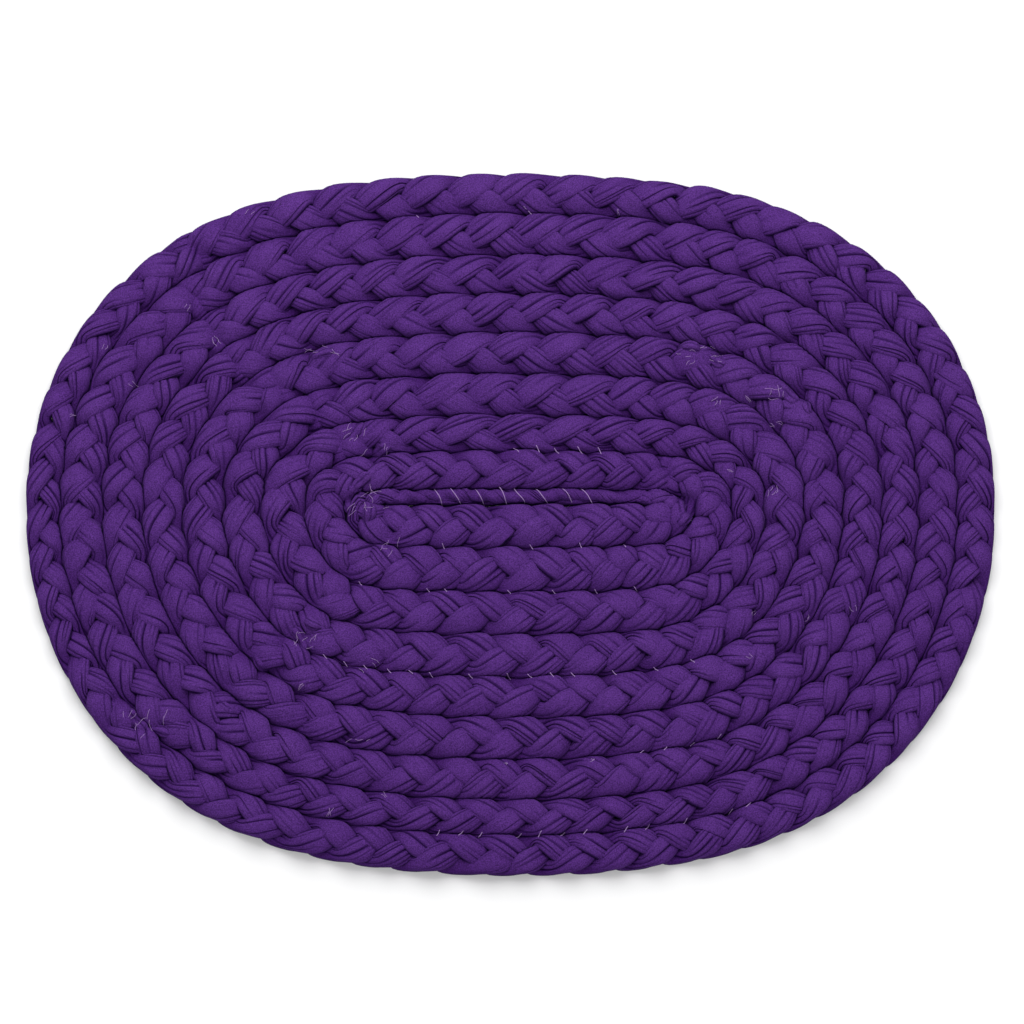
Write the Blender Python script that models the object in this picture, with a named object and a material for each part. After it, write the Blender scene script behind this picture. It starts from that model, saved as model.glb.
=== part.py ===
"""Oval braided rug: nine laps of a three-strand cloth braid, laced edge to edge.

Every lap is a closed oval around the straight core of the rug.  Its edges are grooves, and
between them the crossing strands of the braid stand up as two rows of slanted lobes, half a
lobe out of step.  The underside is flat.  All of it is one sewn thing, so it is one solid.

Metres, +Z up.  The origin is the middle of the underside and +X runs along the rug.
"""

import math
from collections import namedtuple

import bmesh
import bpy
import numpy as np

MM = 0.001

# ---- the laps, millimetres ----
# One row for each groove, from the slit in the middle out to the rim: how far it reaches from
# the core's centre to the right, to the back, to the left and to the front, how much its long
# sides bow, and how much it swells at its two back corners.
Groove = namedtuple("Groove", "right back left front bow shoulder")
GROOVES = (
    Groove(right=90.0, back=0.6, left=86.8, front=0.6, bow=1.5, shoulder=0.0),
    Groove(right=113.0, back=10.3, left=106.6, front=27.7, bow=1.5, shoulder=0.0),
    Groove(right=135.2, back=34.8, left=130.8, front=56.1, bow=3.0, shoulder=1.0),
    Groove(right=155.0, back=58.0, left=156.8, front=83.2, bow=5.0, shoulder=1.5),
    Groove(right=179.2, back=85.1, left=181.0, front=109.7, bow=7.0, shoulder=2.5),
    Groove(right=204.0, back=112.2, left=205.8, front=135.5, bow=9.0, shoulder=3.5),
    Groove(right=227.6, back=138.0, left=230.3, front=161.3, bow=11.0, shoulder=4.0),
    Groove(right=250.5, back=163.8, left=255.4, front=186.4, bow=12.5, shoulder=4.5),
    Groove(right=274.1, back=191.6, left=281.7, front=208.3, bow=14.0, shoulder=4.5),
    Groove(right=297.3, back=218.3, left=302.5, front=231.7, bow=15.0, shoulder=5.5),
)
LAPS = len(GROOVES) - 1
CORE_X, CORE_Y = 2.5, 6.7      # centre of the slit
CORE_HALF_LENGTH = 78.0        # straight part of the slit
CURVE_STEPS = 6000             # fine steps for measuring along a lap or a groove

# ---- the braid, millimetres ----
# Lobes on each side of a lap, innermost lap first.  Three strands share them, so that each
# number is a multiple of three and every strand closes on itself.
LOBES = (18, 24, 27, 33, 39, 45, 51, 57, 63)
PACE_LINE = 0.25               # lobes keep their length this far in from the outer groove
BACK_STRETCH = 0.05            # they are longer along the back than along the front,
END_STRETCH = 0.045            # longer round the left end than round the right one,
SIDE_STRETCH = 0.05            # and longer along the long sides than round the ends
STATIONS_PER_LOBE = 4
CROWN_HEIGHT = 11.6            # middle height of the lobes' crowns
CROWN_WAVE = 1.5               # crown of a lobe above it, gap between two lobes below it
GROOVE_HEIGHT = 7.2
GROOVE_WAVE = 0.8
SLIT_HEIGHT = 8.0
RIM_HEIGHT = 6.0               # the rim is widest here

# Places across a lap, from -1 at its inner groove to 1 at its outer one.
GROOVE_ACROSS = 0.93
CROWN_ACROSS = 0.42
CROWN_SWAY = 0.07              # a lobe's crown stands further out than the gap behind it
RIM_SCALLOP = 0.07             # the rim draws in this much between two lobes
SOLE_ACROSS = 0.84

# The lobes point anticlockwise along the laps, but for the left end of every lap, which was
# braided the other way.  Degrees around the core, innermost lap first.  The second lap points
# the other way along its back too.
Turned = namedtuple("Turned", "first last")
TURNED = (
    Turned(170.0, 190.0),
    Turned(12.0, 201.0),
    Turned(159.0, 206.0),
    Turned(155.0, 211.0),
    Turned(153.0, 210.0),
    Turned(152.0, 213.0),
    Turned(149.0, 218.0),
    Turned(145.0, 214.0),
    Turned(140.0, 208.0),
)

RUG_COLOUR = (0.058, 0.018, 0.130, 1.0)
RUG_ROUGHNESS = 0.95


def oval(place, turn):
    """Return x and y in mm, at angles `turn`, of the oval `place` grooves out from the slit.

    The oval is a bowed core grown outwards by an ellipse with its own reach on each side.
    """
    numbers = range(len(GROOVES))
    row = Groove(*(float(np.interp(place, numbers, column)) for column in zip(*GROOVES)))
    cosine, sine = np.cos(turn), np.sin(turn)
    reach_x = np.where(cosine >= 0, row.right, row.left)
    reach_y = np.where(sine >= 0, row.back, row.front)
    core_x = CORE_HALF_LENGTH + row.bow
    core_y = np.minimum(row.bow, reach_y)
    slimness = math.sqrt(core_x / row.bow)
    core_length = np.hypot(cosine * slimness, sine)
    growth_length = np.hypot(cosine, sine * slimness)
    growth_cos, growth_sin = cosine / growth_length, sine * slimness / growth_length
    shoulder = row.shoulder * 2 * np.abs(growth_cos) * np.maximum(growth_sin, 0.0)
    x = core_x * cosine * slimness / core_length + (reach_x - core_x + shoulder) * growth_cos
    y = core_y * sine / core_length + (reach_y - core_y + shoulder) * growth_sin
    return CORE_X + x, CORE_Y + y


def lengths_along(x, y):
    """Return the distance from the first point of a curve to each of its points."""
    return np.concatenate([[0.0], np.cumsum(np.hypot(np.diff(x), np.diff(y)))])


def even_oval(place):
    """Return finely and evenly spaced points of an oval and their distances along it."""
    turns = np.linspace(0.0, 2 * math.pi, CURVE_STEPS + 1)
    x, y = oval(place, turns)
    along = lengths_along(x, y)
    wanted = np.linspace(0.0, along[-1], CURVE_STEPS + 1)
    even_turns = np.interp(wanted, along, turns)
    x, y = oval(place, even_turns)
    return x, y, wanted, even_turns


def lap_stations(lap):
    """Return x, y and turn of the stations on the middle of a lap, four to a lobe."""
    x, y, _, turns = even_oval(lap - 0.5)
    bearing = np.arctan2(y - CORE_Y, x - CORE_X)
    sine, cosine = np.sin(bearing), np.cos(bearing)
    stretch = 1 + BACK_STRETCH * sine - END_STRETCH * cosine + SIDE_STRETCH * (sine**2 - cosine**2)
    paces = np.diff(lengths_along(*oval(lap - PACE_LINE, turns))) / stretch[1:]
    paced = np.concatenate([[0.0], np.cumsum(paces)])
    count = LOBES[lap - 1] * STATIONS_PER_LOBE
    wanted = np.arange(count) * paced[-1] / count
    return np.interp(wanted, paced, x), np.interp(wanted, paced, y), np.interp(wanted, paced, turns)


def nearest_on_groove(groove, x, y):
    """Return the points of a groove nearest to the given ones, and their places along it."""
    groove_x, groove_y, along, _ = even_oval(groove)
    gaps = np.hypot(x[:, None] - groove_x[None, :-1], y[:, None] - groove_y[None, :-1])
    nearest = gaps.argmin(axis=1)
    return groove_x[nearest], groove_y[nearest], along[nearest] / along[-1]


class Lap:
    """The stations of one lap, with the nearest points of its two grooves."""

    def __init__(self, lap):
        self.number = lap
        self.x, self.y, turns = lap_stations(lap)
        if lap == 1:
            self.inner_x, self.inner_y = oval(0, turns)
            self.inner_along = turns / (2 * math.pi)
        else:
            self.inner_x, self.inner_y, self.inner_along = nearest_on_groove(lap - 1, self.x, self.y)
        self.outer_x, self.outer_y, self.outer_along = nearest_on_groove(lap, self.x, self.y)
        self.count = len(self.x)

    def point(self, station, across):
        """Return x and y in mm at a place across the lap, -1 to 1."""
        groove_x, groove_y = (self.outer_x, self.outer_y) if across > 0 else (self.inner_x, self.inner_y)
        x = self.x[station] + abs(across) * (groove_x[station] - self.x[station])
        y = self.y[station] + abs(across) * (groove_y[station] - self.y[station])
        return float(x), float(y)

    def lean(self, station):
        """Return 1 where the lobes point anticlockwise around the rug, -1 where they point back."""
        degrees = math.degrees(math.atan2(self.y[station] - CORE_Y, self.x[station] - CORE_X)) % 360.0
        turned = TURNED[self.number - 1]
        return -1 if turned.first < degrees < turned.last else 1


def lobe_wave(station):
    """Return 1 at the crown of a lobe of the inner row and -1 at one of the outer row."""
    return math.cos(2 * math.pi * station / STATIONS_PER_LOBE)


def add_row(bm, lap, across, height):
    """Add a vertex at every station of a lap; `across` and `height` are functions of a station."""
    row = []
    for station in range(lap.count):
        x, y = lap.point(station, across(station))
        row.append(bm.verts.new((x * MM, y * MM, height(station) * MM)))
    return row


def add_lap_rows(bm, lap):
    """Add the four rows of vertices of one lap, from its inner groove to its outer one."""

    def sway(station):
        return CROWN_SWAY * lobe_wave(station)

    def edge_wave(station):
        return lobe_wave(station + lap.lean(station))

    def inner_edge_height(station):
        if lap.number == 1:
            return SLIT_HEIGHT
        return GROOVE_HEIGHT + GROOVE_WAVE * edge_wave(station)

    def outer_edge_across(station):
        if lap.number == LAPS:
            return 1.0 - RIM_SCALLOP * (1 + edge_wave(station)) / 2
        return GROOVE_ACROSS

    def outer_edge_height(station):
        if lap.number == LAPS:
            return RIM_HEIGHT
        return GROOVE_HEIGHT - GROOVE_WAVE * edge_wave(station)

    return (
        add_row(bm, lap, lambda station: -GROOVE_ACROSS, inner_edge_height),
        add_row(bm, lap, lambda station: -CROWN_ACROSS - sway(station),
                lambda station: CROWN_HEIGHT + CROWN_WAVE * lobe_wave(station)),
        add_row(bm, lap, lambda station: CROWN_ACROSS - sway(station),
                lambda station: CROWN_HEIGHT - CROWN_WAVE * lobe_wave(station)),
        add_row(bm, lap, outer_edge_across, outer_edge_height),
    )


def face_lap(bm, lap, rows):
    """Face a lap between its four rows, with the diagonals along the lobes."""
    for station in range(lap.count):
        ahead = (station + 1) % lap.count
        forward = lap.lean(station) > 0
        between_crowns = lobe_wave(station) + lobe_wave(station + 1) > 0
        for inner, outer, inner_first in zip(rows, rows[1:], (forward, between_crowns, not forward)):
            if inner_first:
                bm.faces.new((inner[station], outer[station], outer[ahead]))
                bm.faces.new((inner[station], outer[ahead], inner[ahead]))
            else:
                bm.faces.new((inner[station], outer[station], inner[ahead]))
                bm.faces.new((outer[station], outer[ahead], inner[ahead]))


def face_groove(bm, lap, row, next_lap, next_row):
    """Close the groove between two laps whose stations differ, nearer station first."""
    here, there = 0, 0
    while here < lap.count or there < next_lap.count:
        here_next = lap.outer_along[here + 1] if here + 1 < lap.count else 1.0
        there_next = next_lap.inner_along[there + 1] if there + 1 < next_lap.count else 1.0
        inner, outer = row[here % lap.count], next_row[there % next_lap.count]
        if there == next_lap.count or (here < lap.count and here_next <= there_next):
            here += 1
            bm.faces.new((inner, outer, row[here % lap.count]))
        else:
            there += 1
            bm.faces.new((inner, outer, next_row[there % next_lap.count]))


def face_band(bm, upper, lower):
    """Face the band between two rows of the same stations."""
    count = len(upper)
    for station in range(count):
        ahead = (station + 1) % count
        bm.faces.new((upper[station], lower[station], lower[ahead]))
        bm.faces.new((upper[station], lower[ahead], upper[ahead]))


def rug_material():
    """Return the matt purple jersey cloth of the strands."""
    material = bpy.data.materials.new("rug_cloth")
    material.use_nodes = True
    shader = material.node_tree.nodes["Principled BSDF"]
    shader.inputs["Base Color"].default_value = RUG_COLOUR
    shader.inputs["Roughness"].default_value = RUG_ROUGHNESS
    shader.inputs["Metallic"].default_value = 0.0
    return material


def build_rug():
    """Build the whole rug as one closed solid."""
    bm = bmesh.new()
    laps = [Lap(number) for number in range(1, LAPS + 1)]
    rows = [add_lap_rows(bm, lap) for lap in laps]
    for lap, lap_rows in zip(laps, rows):
        face_lap(bm, lap, lap_rows)
    for number in range(LAPS - 1):
        face_groove(bm, laps[number], rows[number][3], laps[number + 1], rows[number + 1][0])
    rim = rows[-1][3]
    sole = add_row(bm, laps[-1], lambda station: SOLE_ACROSS, lambda station: 0.0)
    face_band(bm, rim, sole)
    bm.faces.new(sole)
    bm.faces.new(rows[0][0])
    bmesh.ops.recalc_face_normals(bm, faces=bm.faces)

    mesh = bpy.data.meshes.new("braid")
    bm.to_mesh(mesh)
    bm.free()
    mesh.shade_smooth()
    mesh.set_sharp_from_angle(angle=math.radians(50))
    mesh.materials.append(rug_material())
    rug = bpy.data.objects.new("braid", mesh)
    bpy.context.scene.collection.objects.link(rug)


for startup_object in list(bpy.data.objects):
    bpy.data.objects.remove(startup_object)
build_rug()
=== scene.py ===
"""Looks of an oval braided rug: nine laps of a three-strand jersey braid, laced edge to edge.

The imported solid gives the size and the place.  This script lays the soft strands of every lap
over it, then the cut ends of the strips and the lacing thread with its frayed ends, and sets up
a plain studio with the camera of the photograph.  Cloth and thread are worked out in millimetres
and turned into metres when a mesh is made.  +X runs along the rug and +Z is up.
"""

import logging
import math
from dataclasses import dataclass, field, fields
from enum import Enum

import bpy
import numpy as np
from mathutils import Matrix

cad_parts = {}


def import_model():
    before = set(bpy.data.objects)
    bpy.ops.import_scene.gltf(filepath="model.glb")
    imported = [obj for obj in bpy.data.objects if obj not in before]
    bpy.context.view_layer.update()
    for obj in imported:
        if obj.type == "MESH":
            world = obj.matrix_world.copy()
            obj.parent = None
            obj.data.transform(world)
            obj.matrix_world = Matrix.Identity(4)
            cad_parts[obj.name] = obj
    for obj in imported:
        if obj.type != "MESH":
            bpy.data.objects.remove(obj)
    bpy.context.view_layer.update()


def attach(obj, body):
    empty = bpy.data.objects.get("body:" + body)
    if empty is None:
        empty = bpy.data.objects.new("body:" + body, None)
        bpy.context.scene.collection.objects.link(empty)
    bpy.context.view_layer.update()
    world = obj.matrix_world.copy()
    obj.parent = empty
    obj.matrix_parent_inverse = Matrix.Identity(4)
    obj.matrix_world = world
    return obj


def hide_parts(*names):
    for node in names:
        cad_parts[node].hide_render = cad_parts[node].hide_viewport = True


MM = 0.001
BODY = "root"
SOLID = "braid"
PATTERN_MAP = "strand"
CREASE_SHADE = "painted_shade"
UP = (0.0, 0.0, 1.0)
DOWN = (0.0, 0.0, -1.0)
OVERHEAD = 0.05                      # in metres: where the rays start that look for the cloth
WHITE = (1.0, 1.0, 1.0, 1.0)

Colour = tuple[float, float, float, float]
Socket = bpy.types.NodeSocket

log = logging.getLogger("braided_rug")


class Lean(Enum):
    """Which way the lobes of a braid point along its lap."""

    FORWARD = -1.0
    BACKWARD = 1.0


class Slot(Enum):
    """Names of material slots."""

    CLOTH = "cloth"
    THREAD = "thread"


# --------------------------------------------------------------------------------------------
# lines of the laps
# --------------------------------------------------------------------------------------------


@dataclass(frozen=True)
class Groove:
    """One groove between two laps: its reach from the core's centre on each side, in mm."""

    right: float
    back: float
    left: float
    front: float
    bow: float                       # how far its long sides bow out
    shoulder: float                  # how much fuller its back corners are


@dataclass(frozen=True)
class Oval:
    """The ovals of the rug, from the slit in its middle out to its rim."""

    grooves: tuple[Groove, ...] = (
        Groove(right=90.0, back=0.6, left=86.8, front=0.6, bow=1.5, shoulder=0.0),
        Groove(right=113.0, back=10.3, left=106.6, front=27.7, bow=1.5, shoulder=0.0),
        Groove(right=135.2, back=34.8, left=130.8, front=56.1, bow=3.0, shoulder=1.0),
        Groove(right=155.0, back=58.0, left=156.8, front=83.2, bow=5.0, shoulder=1.5),
        Groove(right=179.2, back=85.1, left=181.0, front=109.7, bow=7.0, shoulder=2.5),
        Groove(right=204.0, back=112.2, left=205.8, front=135.5, bow=9.0, shoulder=3.5),
        Groove(right=227.6, back=138.0, left=230.3, front=161.3, bow=11.0, shoulder=4.0),
        Groove(right=250.5, back=163.8, left=255.4, front=186.4, bow=12.5, shoulder=4.5),
        Groove(right=274.1, back=191.6, left=281.7, front=208.3, bow=14.0, shoulder=4.5),
        Groove(right=297.3, back=218.3, left=302.5, front=231.7, bow=15.0, shoulder=5.5),
    )
    core_x: float = 2.5
    core_y: float = 6.7
    core_half_length: float = 78.0
    fine_steps: int = 6000

    def points(self, place: float, turn: np.ndarray) -> np.ndarray:
        """Find points of one oval.

        Args:
            place: grooves out from the slit, whole or in between.
            turn: angles of the wanted points.

        Returns:
            One row of x and y in mm for each angle.
        """
        row = self._row(place)
        cosine, sine = np.cos(turn), np.sin(turn)
        reach_x = np.where(cosine >= 0, row.right, row.left)
        reach_y = np.where(sine >= 0, row.back, row.front)
        core_x = self.core_half_length + row.bow
        core_y = np.minimum(row.bow, reach_y)
        slimness = math.sqrt(core_x / row.bow)
        core_length = np.hypot(cosine * slimness, sine)
        growth_length = np.hypot(cosine, sine * slimness)
        growth_cos, growth_sin = cosine / growth_length, sine * slimness / growth_length
        swell = row.shoulder * 2 * np.abs(growth_cos) * np.maximum(growth_sin, 0.0)
        x = core_x * cosine * slimness / core_length + (reach_x - core_x + swell) * growth_cos
        y = core_y * sine / core_length + (reach_y - core_y + swell) * growth_sin
        return np.stack([self.core_x + x, self.core_y + y], axis=1)

    def _row(self, place: float) -> Groove:
        """Read the table of grooves.

        Args:
            place: grooves out from the slit, whole or in between.

        Returns:
            The table's row there.
        """
        numbers = range(len(self.grooves))
        columns = {f.name: [getattr(groove, f.name) for groove in self.grooves] for f in fields(Groove)}
        return Groove(**{name: float(np.interp(place, numbers, column)) for name, column in columns.items()})

    def even(self, place: float) -> tuple[np.ndarray, np.ndarray, np.ndarray]:
        """Space points evenly along one oval.

        Args:
            place: grooves out from the slit, whole or in between.

        Returns:
            The points, their distances along the oval and their angles.
        """
        turns = np.linspace(0.0, 2 * math.pi, self.fine_steps + 1)
        along = run_lengths(self.points(place, turns))
        wanted = np.linspace(0.0, along[-1], self.fine_steps + 1)
        turns = np.interp(wanted, along, turns)
        return self.points(place, turns), wanted, turns

    def bearing(self, points: np.ndarray) -> np.ndarray:
        """Return the direction of points from the core's centre, in degrees from 0 to 360."""
        return np.degrees(np.arctan2(points[:, 1] - self.core_y, points[:, 0] - self.core_x)) % 360.0


def run_lengths(points: np.ndarray) -> np.ndarray:
    """Return the distance along a line of points from its first point to each."""
    steps = np.hypot(*np.diff(points, axis=0).T)
    return np.concatenate([[0.0], np.cumsum(steps)])


def smooth_ring(values: np.ndarray, reach: int) -> np.ndarray:
    """Average values around a closed ring, over this many places on each side."""
    total = sum(np.roll(values, shift, axis=0) for shift in range(-reach, reach + 1))
    return total / (2 * reach + 1)


def wander(rng: np.random.Generator, count: int, cycles: int) -> np.ndarray:
    """Make a smooth random line that closes on itself.

    Args:
        rng: the seeded random source.
        count: how many values.
        cycles: the most waves along the whole line.

    Returns:
        Values around 0, mostly between -2 and 2.
    """
    spectrum = np.zeros(count // 2 + 1, dtype=complex)
    top = min(cycles, count // 2 - 1)
    spectrum[1 : top + 1] = rng.normal(size=top) + 1j * rng.normal(size=top)
    line = np.fft.irfft(spectrum, count)
    return line / line.std()


def side_and_up(ahead: np.ndarray) -> tuple[np.ndarray, np.ndarray]:
    """Find the directions across a line.

    Args:
        ahead: the direction along the line at each station, of any length.

    Returns:
        The unit directions sideways, which is level, and upwards.
    """
    ahead = ahead / np.linalg.norm(ahead, axis=1, keepdims=True)
    side = np.cross(ahead, UP)
    side /= np.linalg.norm(side, axis=1, keepdims=True)
    return side, np.cross(side, ahead)


@dataclass
class LapLines:
    """The middle of a lap and its two grooves, station by station."""

    oval: Oval
    lap: int
    count: int
    back_stretch: float = 0.05       # lobes are longer along the back than along the front,
    end_stretch: float = 0.045       # longer round the left end than round the right one,
    side_stretch: float = 0.05       # and longer along the long sides than round the ends
    pace_line: float = 0.25          # lobes keep their length this far in from the outer groove
    smoothing: int = 2
    middle: np.ndarray = field(init=False)
    inner: np.ndarray = field(init=False)
    outer: np.ndarray = field(init=False)

    def __post_init__(self) -> None:
        """Work out the three lines."""
        points, _, turns = self.oval.even(self.lap - 0.5)
        along = run_lengths(self.oval.points(self.lap - self.pace_line, turns))
        towards = np.radians(self.oval.bearing(points))
        sine, cosine = np.sin(towards), np.cos(towards)
        stretch = 1 + self.back_stretch * sine - self.end_stretch * cosine
        stretch = stretch + self.side_stretch * (sine**2 - cosine**2)
        paced = np.concatenate([[0.0], np.cumsum(np.diff(along) / stretch[1:])])
        wanted = np.arange(self.count) * paced[-1] / self.count
        self.middle = np.stack([np.interp(wanted, paced, column) for column in points.T], axis=1)
        self.outer = self._nearest(self.lap)
        if self.lap == 1:
            self.inner = self.oval.points(0.0, np.interp(wanted, paced, turns))
        else:
            self.inner = self._nearest(self.lap - 1)

    def _nearest(self, groove: int) -> np.ndarray:
        """Find where a groove passes the stations.

        Args:
            groove: the number of the groove.

        Returns:
            Its point nearest to each station, in mm.
        """
        points = self.oval.even(float(groove))[0][:-1]
        gaps = np.hypot(*(self.middle[:, None, axis] - points[None, :, axis] for axis in (0, 1)))
        return smooth_ring(points[gaps.argmin(axis=1)], self.smoothing)

    def place(self, across: np.ndarray) -> np.ndarray:
        """Find places across the lap.

        Args:
            across: one value for each station, -1 at the inner groove and 1 at the outer one.

        Returns:
            One row of x and y in mm for each station.
        """
        edge = np.where(across[:, None] > 0, self.outer, self.inner)
        return self.middle + np.abs(across)[:, None] * (edge - self.middle)

    def half_width(self) -> np.ndarray:
        """Return half the width of the lap at each station."""
        return np.hypot(*(self.outer - self.inner).T) / 2


# --------------------------------------------------------------------------------------------
# finishes
# --------------------------------------------------------------------------------------------


@dataclass(frozen=True)
class Grain:
    """A noise pattern, and the relief that it makes."""

    scale: float
    detail: float
    distortion: float = 0.0
    strength: float = 0.0
    depth: float = 0.0               # of the relief, in metres


@dataclass
class FinishNodes:
    """The shader nodes of a new material, with short ways to add more."""

    name: str
    material: bpy.types.Material = field(init=False)
    shader: bpy.types.Node = field(init=False)

    def __post_init__(self) -> None:
        """Make the material with its principled shader."""
        self.material = bpy.data.materials.new(self.name)
        self.material.use_nodes = True
        self.shader = self.material.node_tree.nodes["Principled BSDF"]

    def fill(self, node: bpy.types.Node, inputs: dict[str | int, object]) -> None:
        """Fill inputs of a node.

        Args:
            node: the node.
            inputs: for each input a constant value, or the output that drives it.
        """
        for name, value in inputs.items():
            if isinstance(value, Socket):
                self.material.node_tree.links.new(value, node.inputs[name])
            else:
                node.inputs[name].default_value = value

    def add(self, kind: str, inputs: dict[str | int, object], **settings: object) -> bpy.types.NodeOutputs:
        """Add a node.

        Args:
            kind: its type.
            inputs: what fills its inputs.
            settings: its properties.

        Returns:
            The node's outputs.
        """
        node = self.material.node_tree.nodes.new(kind)
        for name, value in settings.items():
            setattr(node, name, value)
        self.fill(node, inputs)
        return node.outputs

    def place(self) -> Socket:
        """Return the coordinates of the piece itself."""
        return self.add("ShaderNodeTexCoord", {})["Object"]

    def noise(self, grain: Grain, place: Socket) -> Socket:
        """Add a noise pattern and return its value."""
        inputs = {"Scale": grain.scale, "Detail": grain.detail, "Distortion": grain.distortion}
        return self.add("ShaderNodeTexNoise", {"Vector": place, **inputs})["Fac"]

    def relief(self, grain: Grain, height: Socket, **below: Socket) -> Socket:
        """Add the relief of a noise pattern, over another one if given, and return the normal."""
        inputs = {"Strength": grain.strength, "Distance": grain.depth, "Height": height, **below}
        return self.add("ShaderNodeBump", inputs)["Normal"]

    def rescale(self, value: Socket, old: tuple[float, float], new: tuple[float, float]) -> Socket:
        """Add a change of a value from an old range to a new one and return the changed value."""
        inputs = dict(zip(("From Min", "From Max", "To Min", "To Max"), old + new))
        return self.add("ShaderNodeMapRange", {"Value": value, **inputs})["Result"]

    def calculate(self, operation: str, *values: object, clamp: bool = False) -> Socket:
        """Add a calculation with up to three values and return its result."""
        settings = {"operation": operation, "use_clamp": clamp}
        return self.add("ShaderNodeMath", dict(enumerate(values)), **settings)["Value"]

    def mix(self, share: object, first: object, second: object, blend: str = "MIX") -> Socket:
        """Add a mix of two colours and return the mixed one."""
        inputs = {"Factor": share, "A": first, "B": second}
        return self.add("ShaderNodeMix", inputs, data_type="RGBA", blend_type=blend)["Result"]


@dataclass(frozen=True)
class JerseyCloth:
    """Matt cotton jersey, cut in strips and rolled into soft strands."""

    name: str = "purple_jersey"
    # light is the painted highlight on high cloth, dark is the painted shade on low cloth
    light: Colour = (0.065, 0.0208, 0.142, 1.0)
    dark: Colour = (0.033, 0.0065, 0.083, 1.0)
    # colour of the painted shade in folds and crevices
    painted_shade: Colour = (0.006, 0.0003, 0.024, 1.0)
    painted_light_heights: tuple[float, float] = (0.003, 0.0150)      # painted shade low, painted highlight high: the cloth goes from dark to light in this height
    blotches: Grain = Grain(scale=55.0, detail=3.0)
    blotch: float = 0.6                              # how much the blotches lighten and darken it
    crevice_reach: float = 0.0022                    # cloth this close in front darkens a spot with painted shade,
    crevice_sky: tuple[float, float] = (0.76, 0.34)  # from the first share of open sky to the second
    crevice_rays: int = 8
    pleats: Grain = Grain(scale=1.0, detail=4.0, distortion=0.3, strength=0.55, depth=0.0012)
    pleat_stretch: tuple[float, float, float] = (0.9, 0.035, 1.0)
    knit: Grain = Grain(scale=1400.0, detail=2.0, strength=0.35, depth=0.0004)
    knit_values: tuple[float, float] = (0.3, 0.7)
    knit_shade: tuple[float, float] = (0.54, 1.46)
    roughness: float = 0.92
    specular: float = 0.03
    sheen: float = 0.03
    sheen_roughness: float = 0.5
    sheen_tint: Colour = (0.45, 0.30, 0.75, 1.0)

    def material(self) -> bpy.types.Material:
        """Build the cloth's material.

        Returns:
            The material.
        """
        nodes = FinishNodes(self.name)
        place = nodes.place()
        knit = nodes.noise(self.knit, place)
        fibres = nodes.rescale(knit, self.knit_values, self.knit_shade)
        cloth = self._painted_fold_shade(nodes, self._painted_height_light(nodes, place))
        inputs = {
            "Base Color": nodes.mix(1.0, cloth, fibres, "MULTIPLY"),
            "Normal": nodes.relief(self.knit, knit, Normal=self._pleated(nodes)),
            "Roughness": self.roughness,
            "Specular IOR Level": self.specular,
            "Sheen Weight": self.sheen,
            "Sheen Roughness": self.sheen_roughness,
            "Sheen Tint": self.sheen_tint,
        }
        nodes.fill(nodes.shader, inputs)
        return nodes.material

    def _painted_height_light(self, nodes: FinishNodes, place: Socket) -> Socket:
        """Colour the cloth darker where it lies low, as painted shade, and lighter where it lies high, as a
        painted highlight, in uneven blotches.

        Args:
            nodes: the material's nodes.
            place: the coordinates of the piece.

        Returns:
            The colour.
        """
        height = nodes.add("ShaderNodeSeparateXYZ", {"Vector": place})["Z"]
        raised = nodes.rescale(height, self.painted_light_heights, (0.0, 1.0))
        blotches = nodes.noise(self.blotches, place)
        uneven = nodes.calculate("MULTIPLY_ADD", blotches, self.blotch, -self.blotch / 2)
        return nodes.mix(nodes.calculate("ADD", raised, uneven, clamp=True), self.dark, self.light)

    def _painted_fold_shade(self, nodes: FinishNodes, cloth: Socket) -> Socket:
        """Paint shade into the folds and the crevices between strands.

        Args:
            nodes: the material's nodes.
            cloth: the colour of the open cloth.

        Returns:
            The colour.
        """
        fold = nodes.add("ShaderNodeAttribute", {}, attribute_name=CREASE_SHADE)["Fac"]
        reach = {"Distance": self.crevice_reach}
        sky = nodes.add("ShaderNodeAmbientOcclusion", reach, samples=self.crevice_rays)["AO"]
        crevice = nodes.rescale(sky, self.crevice_sky, (0.0, 1.0))
        return nodes.mix(nodes.calculate("MAXIMUM", fold, crevice), cloth, self.painted_shade)

    def _pleated(self, nodes: FinishNodes) -> Socket:
        """Add fine pleats along the strands.

        Args:
            nodes: the material's nodes.

        Returns:
            The normal.
        """
        along = nodes.add("ShaderNodeUVMap", {}, uv_map=PATTERN_MAP)["UV"]
        stretched = nodes.add("ShaderNodeMapping", {"Vector": along, "Scale": self.pleat_stretch})["Vector"]
        return nodes.relief(self.pleats, nodes.noise(self.pleats, stretched))


@dataclass(frozen=True)
class LacingThread:
    """Thin pale lilac sewing thread."""

    name: str = "lilac_thread"
    colour: Colour = (0.31, 0.18, 0.44, 1.0)
    painted_ply_shade: Colour = (0.186, 0.108, 0.264, 1.0)      # painted shade between its plies
    plies: Grain = Grain(scale=2500.0, detail=1.0)
    roughness: float = 0.7

    def material(self) -> bpy.types.Material:
        """Build the thread's material.

        Returns:
            The material.
        """
        nodes = FinishNodes(self.name)
        shade = nodes.mix(nodes.noise(self.plies, nodes.place()), self.painted_ply_shade, self.colour)
        nodes.fill(nodes.shader, {"Base Color": shade, "Roughness": self.roughness})
        return nodes.material


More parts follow.
